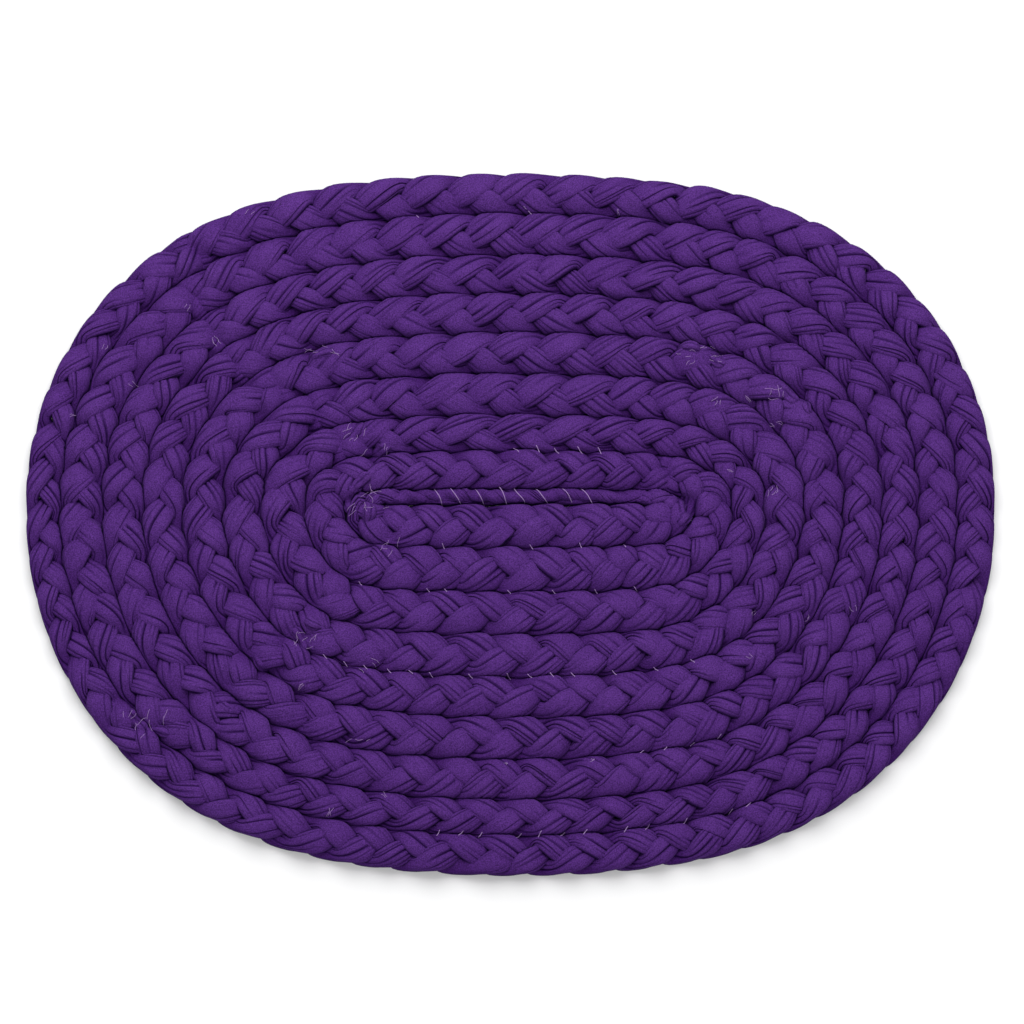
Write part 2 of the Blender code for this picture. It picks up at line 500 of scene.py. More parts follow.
@dataclass(frozen=True)
class StudioPaper:
    """Matt white background paper."""

    name: str = "white_paper"
    colour: Colour = (0.80, 0.80, 0.805, 1.0)
    grain: Grain = Grain(scale=900.0, detail=2.0, strength=0.05, depth=0.0002)
    roughness: float = 1.0
    specular: float = 0.0

    def material(self) -> bpy.types.Material:
        """Build the paper's material.

        Returns:
            The material.
        """
        nodes = FinishNodes(self.name)
        inputs = {
            "Base Color": self.colour,
            "Normal": nodes.relief(self.grain, nodes.noise(self.grain, nodes.place())),
            "Roughness": self.roughness,
            "Specular IOR Level": self.specular,
        }
        nodes.fill(nodes.shader, inputs)
        return nodes.material


# --------------------------------------------------------------------------------------------
# cloth
# --------------------------------------------------------------------------------------------


@dataclass(frozen=True)
class Skin:
    """The skin of a strand or of a cut end, by station along it and column around it."""

    points: np.ndarray               # in mm
    pattern: np.ndarray              # its place on the cloth, across and along, in mm
    painted_shade: np.ndarray               # how much shade is painted on the cloth, 0 to 1


def face_corners(rows: int, columns: int) -> tuple[np.ndarray, np.ndarray]:
    """Lay out the faces of a skin.

    Args:
        rows: how many rows of faces it has.
        columns: how many faces a row has.

    Returns:
        The row and the column of each face's four corners, one past the last at the far edges.
    """
    row, column = np.meshgrid(np.arange(rows), np.arange(columns), indexing="ij")
    corner_rows = np.stack([row, row, row + 1, row + 1], axis=-1)
    corner_columns = np.stack([column, column + 1, column + 1, column], axis=-1)
    return corner_rows.reshape(-1, 4), corner_columns.reshape(-1, 4)


def cloth_piece(
    name: str,
    skins: list[Skin],
    faces: np.ndarray | list[list[int]],
    pattern: np.ndarray,
    finish: bpy.types.Material,
) -> bpy.types.Object:
    """Make a piece of cloth.

    Args:
        name: the piece's name.
        skins: its skins.
        faces: the numbers of the points at the corners of each face, all skins in a row.
        pattern: the place on the cloth of each corner, in mm.
        finish: the cloth's material.

    Returns:
        The piece, dressed and joined to the frame.
    """
    points = np.vstack([skin.points.reshape(-1, 3) for skin in skins])
    painted_shade = np.concatenate([skin.painted_shade.ravel() for skin in skins])
    mesh = bpy.data.meshes.new(name)
    mesh.from_pydata(points * MM, [], faces)
    mesh.uv_layers.new(name=PATTERN_MAP).data.foreach_set("uv", pattern.astype("f").ravel())
    mesh.attributes.new(CREASE_SHADE, "FLOAT", "POINT").data.foreach_set("value", painted_shade.astype("f"))
    mesh.shade_smooth()
    mesh.materials.append(finish)
    mesh.validate()
    piece = bpy.data.objects.new(name, mesh)
    bpy.context.scene.collection.objects.link(piece)
    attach(piece, BODY)
    return piece


def cloth_height(cloth: list[bpy.types.Object], x: float, y: float, least: float = 0.0) -> float:
    """Find how high the cloth lies at a place.

    Args:
        cloth: the pieces of cloth.
        x: the place along the rug, in mm.
        y: the place across the rug, in mm.
        least: the height where the cloth is lower or missing, in mm.

    Returns:
        The height in mm.
    """
    heights = [least]
    for piece in cloth:
        hit, spot, _, _ = piece.ray_cast((x * MM, y * MM, OVERHEAD), DOWN)
        if hit:
            heights.append(spot.z / MM)
    return max(heights)


# --------------------------------------------------------------------------------------------
# the braid
# --------------------------------------------------------------------------------------------


@dataclass(frozen=True)
class Unevenness:
    """How unevenly a strand is plaited: the usual error of each of its measures."""

    pace: float = 0.14               # radians of its wave
    across: float = 0.03             # half laps
    height: float = 0.25             # mm
    width: float = 0.34              # mm
    top: float = 0.07                # share of its height
    roll: float = 0.10               # radians
    edge: float = 0.25               # share of the reach of its painted edge shade


@dataclass(frozen=True)
class Pleats:
    """The pleats along the top of a strand.  Places and reaches are shares of half a turn."""

    places: tuple[float, ...] = (0.23, 0.36, 0.50, 0.65, 0.79)
    drift: float = 0.020             # how far a pleat usually strays
    reach: float = 0.016             # from its bottom to its flanks
    lip: float = 1.4                 # from its flanks to its lips, in reaches
    depth: float = 1.4               # mm where it is open
    # painted shade at the bottom of a pleat and on its flanks
    shade: float = 0.95
    flank_depth: float = 0.3         # share of the depth
    flank_shade: float = 0.45
    opening: float = 0.28            # how open it is on average, 0 to 1,
    opening_error: float = 0.62      # and how much that usually changes along it
    most_open: float = 1.3


@dataclass(frozen=True)
class Pressing:
    """How the strands press together.  Places are in half laps from the middle of the lap."""

    squeeze_from: float = 0.93       # further out than this, strands give way to the next lap,
    squeeze_to: float = 1.14         # and none goes further than this
    jostle: float = 0.11             # a strand on top takes this much more room
    rim_from: float = 0.72           # the same for the rim of the rug
    rim_to: float = 1.06
    plunge_from: float = 0.94        # further out than this, strands go down between the laps
    plunge: float = 5.5              # mm
    plunge_power: float = 1.5
    floor_softness: float = 0.9      # mm


@dataclass(frozen=True)
class PlainBand:
    """The back of the first lap, which is a plain twisted band behind the slit."""

    reach: float = 80.0              # mm from the core's centre, each way
    fade: float = 12.0               # mm from braid to band
    calm: float = 0.78               # share of the strands' swing that it loses
    clean: float = 0.9               # share of the painted crease shade that it loses
    twists: int = 7
    lift: float = 1.3                # mm of its first strand over the other two


@dataclass
class BraidLap:
    """One closed lap of the braid: three soft strands, each a closed ring of its own."""

    oval: Oval
    lap: int
    lobes: int
    turned: tuple[float, float]
    finish: bpy.types.Material
    strands: int = 3
    stations_per_wave: int = 36
    seed: int = 100
    phase: float = 0.625             # lobes between the first lobe and the first station
    turning: float = 0.25            # lobes in which the braid turns, to each side of the turn
    spread: float = 0.78             # how far a strand's middle swings, in half laps
    zigzag: float = 0.03             # share of the third wave: straighter flanks, tighter turns
    middle_height: float = 5.7
    rise: float = 3.6
    lag: float = math.radians(12)    # a strand rises and dives this much after it swings
    half_width: float = 6.9
    swell: float = 2.1               # a strand is this much wider on top and at the bottom
    turn_swell: float = 1.8          # and this much where the braid turns
    top: float = 4.1
    sole: float = 3.2
    squareness: float = 0.84
    roll: float = math.radians(20)
    usual_half_lap: float = 12.8     # strands are smaller in a narrower lap,
    share_limits: tuple[float, float] = (0.62, 1.15)
    thinning: float = 0.3            # but much less so in height
    first_shaped_lap: int = 3        # from this lap on, the braid differs behind the core:
    behind_slope: float = 1.5
    crossing: float = 0.14           # the strands cross nearer to the inner edge
    haste: float = 0.26              # and go outwards steeper than they go inwards,
    outer_lift: float = 0.7          # over the inner lobes by this much
    outer_swell: float = 0.5
    edge_reach: float = 0.11         # painted shade darkens the sides of a strand this far up, of half a turn
    edge_limits: tuple[float, float] = (0.4, 1.4)
    edge_shade: float = 0.95
    sole_columns: int = 5
    pattern_gap: float = 60.0        # the strands' places on the cloth are this far apart
    uneven: Unevenness = Unevenness()
    pleats: Pleats = Pleats()
    pressing: Pressing = Pressing()
    band: PlainBand = PlainBand()

    @property
    def waves(self) -> int:
        """Return how many waves a strand makes round the lap."""
        return self.lobes // self.strands

    def build(self) -> bpy.types.Object:
        """Model the lap.

        Returns:
            The lap's piece, dressed and joined to the frame.
        """
        rng = np.random.default_rng(self.seed + self.lap)
        lines = LapLines(self.oval, self.lap, self.waves * self.stations_per_wave)
        skins = [self._strand(rng, lines, number) for number in range(self.strands)]
        stations, columns = skins[0].painted_shade.shape
        corner_rows, corner_columns = face_corners(stations, columns)
        corners = corner_rows % stations * columns + corner_columns % columns
        faces = np.vstack([corners + number * stations * columns for number in range(self.strands)])
        pattern = np.vstack([skin.pattern[corner_rows, corner_columns].reshape(-1, 2) for skin in skins])
        piece = cloth_piece(f"lap_{self.lap}", skins, faces, pattern, self.finish)
        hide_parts(SOLID)
        return piece

    def _strand(self, rng: np.random.Generator, lines: LapLines, number: int) -> Skin:
        """Work out the skin of one strand.

        Args:
            rng: the seeded random source.
            lines: the lap's lines.
            number: which of the strands.

        Returns:
            The skin.  Its pattern has a row and a column more, where it closes.
        """
        count, ripples, uneven = lines.count, 2 * self.waves, self.uneven
        pitches = np.arange(count) * self.lobes / count
        turn = 2 * math.pi * (pitches + self.phase + number) / self.strands
        turn = turn + uneven.pace * wander(rng, count, self.waves)
        lean, behind, band = self._lean(lines, pitches), self._behind(lines), self._band(lines)
        calm = 1 - self.band.calm * band
        turn = turn - self.haste * behind * lean * np.sin(turn)
        swing = (np.sin(turn) - self.zigzag * np.sin(3 * turn)) / (1 + self.zigzag)
        swing = (swing - self.crossing * behind * (1 - swing**2)) * calm
        over = lean * np.sin(2 * (turn + lean * self.lag)) * calm

        across = self.spread * swing + uneven.across * wander(rng, count, ripples)
        height = self.middle_height + self.rise * over + uneven.height * wander(rng, count, ripples)
        height = height + self.outer_lift * behind * swing
        height = height + self.band.lift * band * (1.0 if number == 0 else -1.0)
        path = np.column_stack([lines.place(across), height])

        share = np.clip(lines.half_width() / self.usual_half_lap, *self.share_limits)
        usual = self.half_width + self.outer_swell * behind * swing + self.swell * np.abs(over)
        usual = usual + self.turn_swell * (1 - lean**2)
        width = (usual + uneven.width * wander(rng, count, ripples)) * share
        top = self.top * (1 + uneven.top * wander(rng, count, ripples)) * share**self.thinning
        roll = self.roll * swing + uneven.roll * wander(rng, count, ripples)
        roll = roll + self._twist(lines) * (number == 0)

        around, sink, painted_shade = self._columns(rng, count)
        points = self._tube(path, roll, width, top, around, sink)
        self._press(points, lines, over)
        pattern = self._pattern(path, around, width)
        pattern[..., 0] += self.pattern_gap * number
        return Skin(points, pattern, painted_shade * (1 - self.band.clean * band[:, None]))

    def _lean(self, lines: LapLines, pitches: np.ndarray) -> np.ndarray:
        """Say which way the lobes point.

        Args:
            lines: the lap's lines.
            pitches: how many lobes each station is from the start.

        Returns:
            A value of Lean at each station, and values in between where the braid turns, half
            way between two lobes.
        """
        bearing = lines.oval.bearing(lines.middle)
        inside = np.flatnonzero((bearing > self.turned[0]) & (bearing < self.turned[1]))
        first, last = (round(2 * (pitches[i] + self.phase)) / 2 - self.phase for i in (inside[0], inside[-1]))
        turn = np.minimum((pitches - first) / self.turning, (last - pitches) / self.turning)
        return np.clip(turn, Lean.FORWARD.value, Lean.BACKWARD.value)

    def _behind(self, lines: LapLines) -> np.ndarray:
        """Find the stations behind the core.

        Args:
            lines: the lap's lines.

        Returns:
            1 behind the core, 0 in front of it and values in between, or 0 in the first laps.
        """
        towards = np.radians(lines.oval.bearing(lines.middle))
        behind = np.clip(0.5 + self.behind_slope * np.sin(towards), 0.0, 1.0)
        return behind * (self.lap >= self.first_shaped_lap)

    def _band(self, lines: LapLines) -> np.ndarray:
        """Find the plain band.

        Args:
            lines: the lap's lines.

        Returns:
            1 at the stations where the lap is the band, 0 elsewhere and values in between.
        """
        sideways = np.abs(lines.middle[:, 0] - lines.oval.core_x)
        near = np.clip((self.band.reach - sideways) / self.band.fade, 0.0, 1.0)
        return near * (lines.middle[:, 1] > lines.oval.core_y) * (self.lap == 1)

    def _twist(self, lines: LapLines) -> np.ndarray:
        """Twist the plain band.

        Args:
            lines: the lap's lines.

        Returns:
            Its turn about its own middle at each station, in radians.
        """
        behind = (self.lap == 1) & (lines.middle[:, 1] > lines.oval.core_y)
        done = (lines.oval.core_x + self.band.reach - lines.middle[:, 0]) / (2 * self.band.reach)
        return 2 * math.pi * self.band.twists * np.clip(done, 0.0, 1.0) * behind

    def _columns(self, rng: np.random.Generator, count: int) -> tuple[np.ndarray, np.ndarray, np.ndarray]:
        """Lay out the columns of points around a strand, with the pleats along its top.

        Args:
            rng: the seeded random source.
            count: stations along the strand.

        Returns:
            By station and column: the angle around the strand, how far the point sinks into
            it, and how much shade is painted there.
        """
        flat, ripples, pleats = np.zeros(count), 2 * self.waves, self.pleats
        rough = np.clip(1 + self.uneven.edge * wander(rng, count, ripples), *self.edge_limits)
        edge = self.edge_reach * rough
        columns = [(flat, flat, flat + self.edge_shade), (edge, flat, flat)]
        for middle in pleats.places:
            at = middle + pleats.drift * wander(rng, count, ripples)
            opening = pleats.opening + pleats.opening_error * wander(rng, count, ripples)
            opening = np.clip(opening, 0.0, pleats.most_open)
            sink, shade = pleats.depth * opening, np.minimum(opening, 1)
            lip = (1 + pleats.lip) * pleats.reach
            flank = (pleats.flank_depth * sink, pleats.flank_shade * shade)
            columns += [(at - lip, flat, flat), (at - pleats.reach, *flank)]
            columns += [(at, sink, pleats.shade * shade)]
            columns += [(at + pleats.reach, *flank), (at + lip, flat, flat)]
        columns += [(1 - edge, flat, flat), (flat + 1, flat, flat + self.edge_shade)]
        for number in range(1, self.sole_columns + 1):
            side_shade = self.edge_shade * (number in (1, self.sole_columns))
            columns.append((flat + 1 + number / (self.sole_columns + 1), flat, flat + side_shade))
        places, sinks, shades = (np.stack(column, axis=1) for column in zip(*columns))
        return math.pi * places, sinks, shades

    def _tube(
        self,
        path: np.ndarray,
        roll: np.ndarray,
        width: np.ndarray,
        top: np.ndarray,
        around: np.ndarray,
        sink: np.ndarray,
    ) -> np.ndarray:
        """Lay the points of a strand around its path.

        Args:
            path: its middle at each station, in mm.
            roll: its turn about its middle at each station, in radians.
            width: half its width at each station, in mm.
            top: its reach above its middle at each station, in mm.
            around: the angle around it, by station and column.
            sink: how far a point sinks into it, by station and column, in mm.

        Returns:
            The points by station and column.
        """
        side, up = side_and_up(np.roll(path, -1, axis=0) - np.roll(path, 1, axis=0))
        cosine, sine = np.cos(roll)[:, None], np.sin(roll)[:, None]
        side, up = cosine * side - sine * up, cosine * up + sine * side
        cosine, sine = np.cos(around), np.sin(around)
        out = np.sign(cosine) * np.abs(cosine) ** self.squareness * width[:, None]
        lift = np.sign(sine) * np.abs(sine) ** self.squareness
        lift = lift * np.where(sine > 0, top[:, None], self.sole)
        shrink = 1 - sink / np.hypot(out, lift)
        sideways = (out * shrink)[..., None] * side[:, None, :]
        upwards = (lift * shrink)[..., None] * up[:, None, :]
        return path[:, None, :] + sideways + upwards

    def _press(self, points: np.ndarray, lines: LapLines, over: np.ndarray) -> None:
        """Press a strand's skin against the floor and against the neighbouring laps.

        Args:
            points: the skin by station and column, changed in place.
            lines: the lap's lines.
            over: how far the strand lies on top at each station, -1 to 1.
        """
        press = self.pressing
        outward = lines.outer - lines.inner
        half = np.linalg.norm(outward, axis=1) / 2
        outward /= 2 * half[:, None]
        centre = (lines.outer + lines.inner) / 2
        out = ((points[..., :2] - centre[:, None, :]) * outward[:, None, :]).sum(axis=-1) / half[:, None]
        rim = (out > 0) & (self.lap == len(self.oval.grooves) - 1)
        free = np.where(rim, press.rim_from, press.squeeze_from + press.jostle * over[:, None])
        room = np.where(rim, press.rim_to - free, press.squeeze_to - press.squeeze_from)
        excess = np.maximum(np.abs(out) - free, 0.0)
        pressed = np.sign(out) * (np.minimum(np.abs(out), free) + room * np.tanh(excess / room))
        points[..., :2] += ((pressed - out) * half[:, None])[..., None] * outward[:, None, :]
        depth = (np.abs(pressed) - press.plunge_from) / (press.squeeze_to - press.plunge_from)
        plunge = press.plunge * np.clip(depth, 0.0, 1.0) ** press.plunge_power
        z = points[..., 2] - np.where(rim, 0.0, plunge)
        points[..., 2] = (z + np.sqrt(z**2 + press.floor_softness**2)) / 2

    def _pattern(self, path: np.ndarray, around: np.ndarray, width: np.ndarray) -> np.ndarray:
        """Unroll a strand onto the cloth.

        Args:
            path: its middle at each station, in mm.
            around: the angle around it, by station and column.
            width: half its width at each station, in mm.

        Returns:
            The places across and along it in mm, with the first row and column again at the end.
        """
        step = np.linalg.norm(np.roll(path, -1, axis=0) - path, axis=1)
        along = np.concatenate([[0.0], np.cumsum(step)])
        closed = np.vstack([around, around[:1]])
        across = np.hstack([closed, closed[:, :1] + 2 * math.pi]) * float(width.mean())
        return np.stack([across, np.broadcast_to(along[:, None], across.shape)], axis=-1)


@dataclass(frozen=True)
class TailPlace:
    """Where the cut end of a strip shows: its middle and size in mm, its direction in degrees."""

    x: float
    y: float
    direction: float
    length: float
    half_width: float
    sink: float                      # how far its middle lies below the cloth around it


@dataclass
class StripTails:
    """Cut ends of the strips, tucked in where a strand was joined to the next one."""

    finish: bpy.types.Material
    laps: list[bpy.types.Object]
    places: tuple[TailPlace, ...] = (
        TailPlace(x=111, y=9, direction=72, length=24, half_width=5.2, sink=2.5),
        TailPlace(x=107, y=-2, direction=50, length=17, half_width=4.4, sink=1.5),
        TailPlace(x=106, y=7, direction=66, length=15, half_width=4.6, sink=5.0),
        TailPlace(x=-100, y=10, direction=100, length=20, half_width=4.8, sink=2.5),
        TailPlace(x=112, y=107, direction=-12, length=17, half_width=3.6, sink=1.0),
        TailPlace(x=129, y=100, direction=-38, length=16, half_width=3.8, sink=1.2),
        TailPlace(x=173, y=77, direction=-48, length=18, half_width=4.6, sink=1.0),
        TailPlace(x=185, y=69, direction=-80, length=13, half_width=3.4, sink=1.2),
        TailPlace(x=-96, y=54, direction=48, length=17, half_width=4.2, sink=1.2),
        TailPlace(x=-80, y=42, direction=20, length=15, half_width=3.8, sink=1.0),
        TailPlace(x=-92, y=20, direction=35, length=16, half_width=4.0, sink=1.0),
        TailPlace(x=-88, y=0, direction=78, length=15, half_width=4.0, sink=1.2),
        TailPlace(x=-118, y=103, direction=14, length=19, half_width=3.6, sink=1.0),
        TailPlace(x=-175, y=-123, direction=-45, length=14, half_width=3.4, sink=2.6),
        TailPlace(x=-153, y=-93, direction=-60, length=15, half_width=3.6, sink=3.4),
        TailPlace(x=-228, y=-131, direction=-50, length=19, half_width=4.4, sink=1.2),
        TailPlace(x=-214, y=-138, direction=-20, length=15, half_width=3.6, sink=1.0),
        TailPlace(x=-130, y=-80, direction=-62, length=18, half_width=4.2, sink=1.2),
        TailPlace(x=-121, y=-70, direction=-30, length=14, half_width=3.6, sink=1.0),
    )
    stations: int = 26
    columns: int = 28
    seed: int = 77
    half_thickness: float = 3.4
    end_power: float = 2.6           # a higher power makes blunter ends
    end_size: float = 0.02
    lumps: float = 3.1               # radians of lumps along half of it
    lump_size: float = 0.1           # share of its thickness
    most_shift: float = 6.0          # radians: the most that its lumps and folds are shifted
    folds: int = 5
    fold_twist: float = 1.2
    fold_from: float = 0.55          # a fold is the part of a wave above this
    fold_depth: float = 0.1925       # share of its size
    # painted shade in its folds
    fold_shade: float = 0.8
    side_from: float = 0.25          # painted shade darkens its sides below this share of its height
    side_shade: float = 0.85
    most_shade: float = 0.9
    most_bend: float = 0.12          # share of its length
    droop: float = 2.4
    droop_power: int = 4
    lowest: float = 0.4
    least_ground: float = 7.0
    smoothing: int = 6

    def build(self) -> bpy.types.Object:
        """Model every cut end.

        Returns:
            One piece, dressed and joined to the frame.
        """
        rng = np.random.default_rng(self.seed)
        bpy.context.view_layer.update()
        skins = [self._skin(rng, place) for place in self.places]
        rows, columns = face_corners(self.stations - 1, self.columns)
        sides = rows * self.columns + columns % self.columns
        start, end = np.arange(self.columns), self.stations * self.columns - 1 - np.arange(self.columns)
        faces = []
        for number in range(len(skins)):
            first = number * self.stations * self.columns
            faces.extend((first + sides).tolist())
            faces.extend([(first + start).tolist(), (first + end).tolist()])
        pattern = np.vstack([skin.pattern.reshape(-1, 2) for skin in skins])[np.concatenate(faces)]
        piece = cloth_piece("strip_tails", skins, faces, pattern, self.finish)
        return piece

    def _skin(self, rng: np.random.Generator, place: TailPlace) -> Skin:
        """Work out the skin of one cut end.

        Args:
            rng: the seeded random source.
            place: where it shows.

        Returns:
            The skin.
        """
        share = np.linspace(-1.0, 1.0, self.stations)[:, None]
        around = np.linspace(0.0, 2 * math.pi, self.columns, endpoint=False)[None, :]
        full = np.sqrt(1 + self.end_size - np.abs(share) ** self.end_power)
        full = full * (1 + self.lump_size * np.sin(self.lumps * share + rng.uniform(0, self.most_shift)))
        wave = np.sin(self.folds * around + self.fold_twist * share + rng.uniform(0, self.most_shift))
        fold = np.clip(wave - self.fold_from, 0.0, 1.0) / (1 - self.fold_from)
        size = 1 - self.fold_depth * fold
        out = place.half_width * full * np.cos(around) * size
        lift = self.half_thickness * full * np.sin(around) * size
        out = out + rng.uniform(-self.most_bend, self.most_bend) * place.length * (1 - share**2)

        angle = math.radians(place.direction)
        ahead = np.array((math.cos(angle), math.sin(angle)))
        side = np.array((-math.sin(angle), math.cos(angle)))
        along = np.broadcast_to(place.length / 2 * share, out.shape)
        plan = np.array((place.x, place.y)) + along[..., None] * ahead + out[..., None] * side
        height = self._ground(place, ahead)[:, None] - place.sink + lift
        height = height - self.droop * share**self.droop_power
        points = np.dstack([plan, np.maximum(height, self.lowest)])

        low = np.clip(self.side_from - np.sin(around), 0.0, self.side_from) / self.side_from
        painted_shade = np.clip(self.fold_shade * fold**2 + self.side_shade * low, 0.0, self.most_shade)
        across = np.broadcast_to(around * place.half_width, out.shape)
        return Skin(points, np.dstack([across, along]), painted_shade)

    def _ground(self, place: TailPlace, ahead: np.ndarray) -> np.ndarray:
        """Feel the cloth under a cut end.

        Args:
            place: where the cut end shows.
            ahead: its direction on the plan.

        Returns:
            The smoothed height of the cloth at each station, in mm.
        """
        shares = np.linspace(-0.5, 0.5, self.stations)[:, None]
        plan = np.array((place.x, place.y)) + shares * place.length * ahead
        line = np.array([cloth_height(self.laps, x, y, self.least_ground) for x, y in plan])
        for _ in range(self.smoothing):
            line[1:-1] = (line[:-2] + 2 * line[1:-1] + line[2:]) / 4
        return line


# --------------------------------------------------------------------------------------------
# thread
# --------------------------------------------------------------------------------------------


@dataclass(frozen=True)
class StitchRun:
    """A run of lacing stitches that shows along a groove, in mm and degrees."""

    place: float                     # grooves out from the slit
    side: float                      # 1 behind the core, -1 in front of it
    first_x: float
    last_x: float
    every: float
    length: float
    slant: float                     # direction of a stitch, 90 straight across a lap
    shown: float                     # share of the stitches that shows


@dataclass(frozen=True)
class LooseEnd:
    """A tuft of thread ends, or lint: where it is, in mm and degrees, and how many it has."""

    x: float
    y: float
    spread: float                    # how far around its middle they lie
    number: int
    length: float
    slant: float
    stray: float                     # the most that they turn away from the slant


@dataclass(frozen=True)
class ThreadLine:
    """One stitch or thread end: its path seen from above, and its sizes in mm."""

    plan: np.ndarray
    radius: float
    dive: float                      # how far its ends go into the cloth


@dataclass
class Lacing:
    """The lacing thread where it shows: stitches in the grooves, frayed ends and lint."""

    oval: Oval
    finish: bpy.types.Material
    cloth: list[bpy.types.Object]
    runs: tuple[StitchRun, ...] = (
        StitchRun(place=0.5, side=1, first_x=-47, last_x=60, every=13.4, length=12.5, slant=-58, shown=1.0),
        StitchRun(place=2, side=1, first_x=4, last_x=54, every=12.5, length=6.5, slant=-58, shown=0.9),
        StitchRun(place=1, side=-1, first_x=-70, last_x=76, every=14.0, length=4.5, slant=-62, shown=0.45),
        StitchRun(place=2, side=-1, first_x=-104, last_x=86, every=13.0, length=3.8, slant=-52, shown=0.5),
        StitchRun(place=4, side=-1, first_x=-112, last_x=122, every=12.5, length=4.8, slant=-50, shown=0.75),
        StitchRun(place=6, side=-1, first_x=30, last_x=176, every=16.0, length=4.0, slant=48, shown=0.5),
        StitchRun(place=8, side=-1, first_x=-44, last_x=150, every=12.6, length=5.2, slant=52, shown=0.85),
        StitchRun(place=8, side=1, first_x=-60, last_x=40, every=24.0, length=4.0, slant=-60, shown=0.4),
    )
    ends: tuple[LooseEnd, ...] = (
        LooseEnd(x=118, y=105, spread=14, number=13, length=5, slant=10, stray=40),
        LooseEnd(x=129, y=72, spread=3, number=3, length=5, slant=60, stray=30),
        LooseEnd(x=149, y=75, spread=3, number=3, length=5, slant=-50, stray=30),
        LooseEnd(x=166, y=78, spread=7, number=7, length=6, slant=40, stray=60),
        LooseEnd(x=166, y=58, spread=4, number=4, length=4, slant=-30, stray=60),
        LooseEnd(x=136, y=26, spread=2, number=2, length=4, slant=-40, stray=20),
        LooseEnd(x=163, y=14, spread=5, number=4, length=6, slant=60, stray=30),
        LooseEnd(x=-116, y=102, spread=12, number=7, length=6, slant=0, stray=50),
        LooseEnd(x=-88, y=48, spread=15, number=9, length=6, slant=30, stray=60),
        LooseEnd(x=-86, y=8, spread=14, number=12, length=7, slant=60, stray=70),
        LooseEnd(x=-74, y=-22, spread=8, number=6, length=5, slant=50, stray=50),
        LooseEnd(x=-126, y=-81, spread=9, number=8, length=7, slant=45, stray=70),
        LooseEnd(x=-222, y=-134, spread=14, number=10, length=7, slant=60, stray=50),
        LooseEnd(x=-254, y=108, spread=2, number=2, length=5, slant=60, stray=20),
        LooseEnd(x=-236, y=84, spread=2, number=2, length=5, slant=-40, stray=20),
        LooseEnd(x=-274, y=63, spread=2, number=2, length=4, slant=30, stray=20),
        LooseEnd(x=-203, y=135, spread=2, number=2, length=5, slant=60, stray=20),
        LooseEnd(x=-187, y=114, spread=5, number=4, length=5, slant=-60, stray=30),
        LooseEnd(x=-126, y=-110, spread=5, number=3, length=6, slant=40, stray=20),
        LooseEnd(x=-85, y=-98, spread=7, number=3, length=5, slant=-40, stray=20),
        LooseEnd(x=-94, y=-146, spread=8, number=3, length=5, slant=20, stray=30),
        LooseEnd(x=-108, y=-190, spread=4, number=3, length=5, slant=40, stray=40),
        LooseEnd(x=-76, y=-178, spread=2, number=2, length=4, slant=-40, stray=20),
        LooseEnd(x=183, y=-66, spread=2, number=2, length=4, slant=60, stray=20),
        LooseEnd(x=211, y=-60, spread=2, number=2, length=4, slant=-60, stray=20),
        LooseEnd(x=148, y=-63, spread=2, number=2, length=4, slant=50, stray=20),
        LooseEnd(x=147, y=-92, spread=2, number=2, length=4, slant=-30, stray=20),
        LooseEnd(x=8, y=202, spread=1, number=1, length=4, slant=-60, stray=20),
        LooseEnd(x=69, y=199, spread=1, number=2, length=3.5, slant=-60, stray=30),
        LooseEnd(x=-165, y=198, spread=2, number=2, length=4, slant=50, stray=20),
        LooseEnd(x=50, y=-156, spread=1, number=6, length=2.5, slant=0, stray=90),
        LooseEnd(x=-3, y=-158, spread=1, number=3, length=2, slant=0, stray=90),
    )
    radius: float = 0.30
    dive: float = 1.6
    dive_power: int = 6
    bend: float = 0.06               # share of a stitch's length
    step_stray: float = 0.15         # share of the way to the next stitch
    slant_stray: float = 9.0         # degrees
    fray_radius: float = 0.14
    fray_dive: float = 0.4
    fray_bend: float = 0.2
    fray_lengths: tuple[float, float] = (0.6, 1.3)
    fray_depth: float = 0.6          # ends lie less far apart across the rug than along it
    sides: int = 5
    steps: int = 9
    rest: float = 0.5                # radii from the cloth up to the thread's middle
    pulls: int = 3                   # times that a thread is pulled straight between high spots
    seed: int = 41

    def build(self) -> bpy.types.Object:
        """Model the thread.

        Returns:
            One piece with every stitch and loose end, dressed and joined to the frame.
        """
        rng = np.random.default_rng(self.seed)
        bpy.context.view_layer.update()
        master = self._master()
        copies = [self._lay(master, line) for line in self._stitches(rng) + self._frays(rng)]
        bpy.data.objects.remove(master)
        bpy.ops.object.select_all(action="DESELECT")
        for copy in copies:
            copy.select_set(True)
        bpy.context.view_layer.objects.active = copies[0]
        bpy.ops.object.join()
        piece = bpy.context.active_object
        piece.name = piece.data.name = "lacing"
        piece.data.materials.append(self.finish)
        piece.data.shade_smooth()
        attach(piece, BODY)
        return piece

    def _master(self) -> bpy.types.Object:
        """Model a straight stitch of unit length and unit radius.

        Returns:
            The stitch, standing on the origin.
        """
        bpy.ops.mesh.primitive_circle_add(vertices=self.sides, radius=1.0, fill_type="NGON")
        stitch = bpy.context.active_object
        bpy.ops.object.mode_set(mode="EDIT")
        bpy.ops.mesh.select_all(action="SELECT")
        for _ in range(self.steps):
            bpy.ops.mesh.extrude_region_move(TRANSFORM_OT_translate={"value": (0.0, 0.0, 1 / self.steps)})
        bpy.ops.mesh.select_all(action="SELECT")
        bpy.ops.mesh.normals_make_consistent(inside=False)
        bpy.ops.object.mode_set(mode="OBJECT")
        return stitch

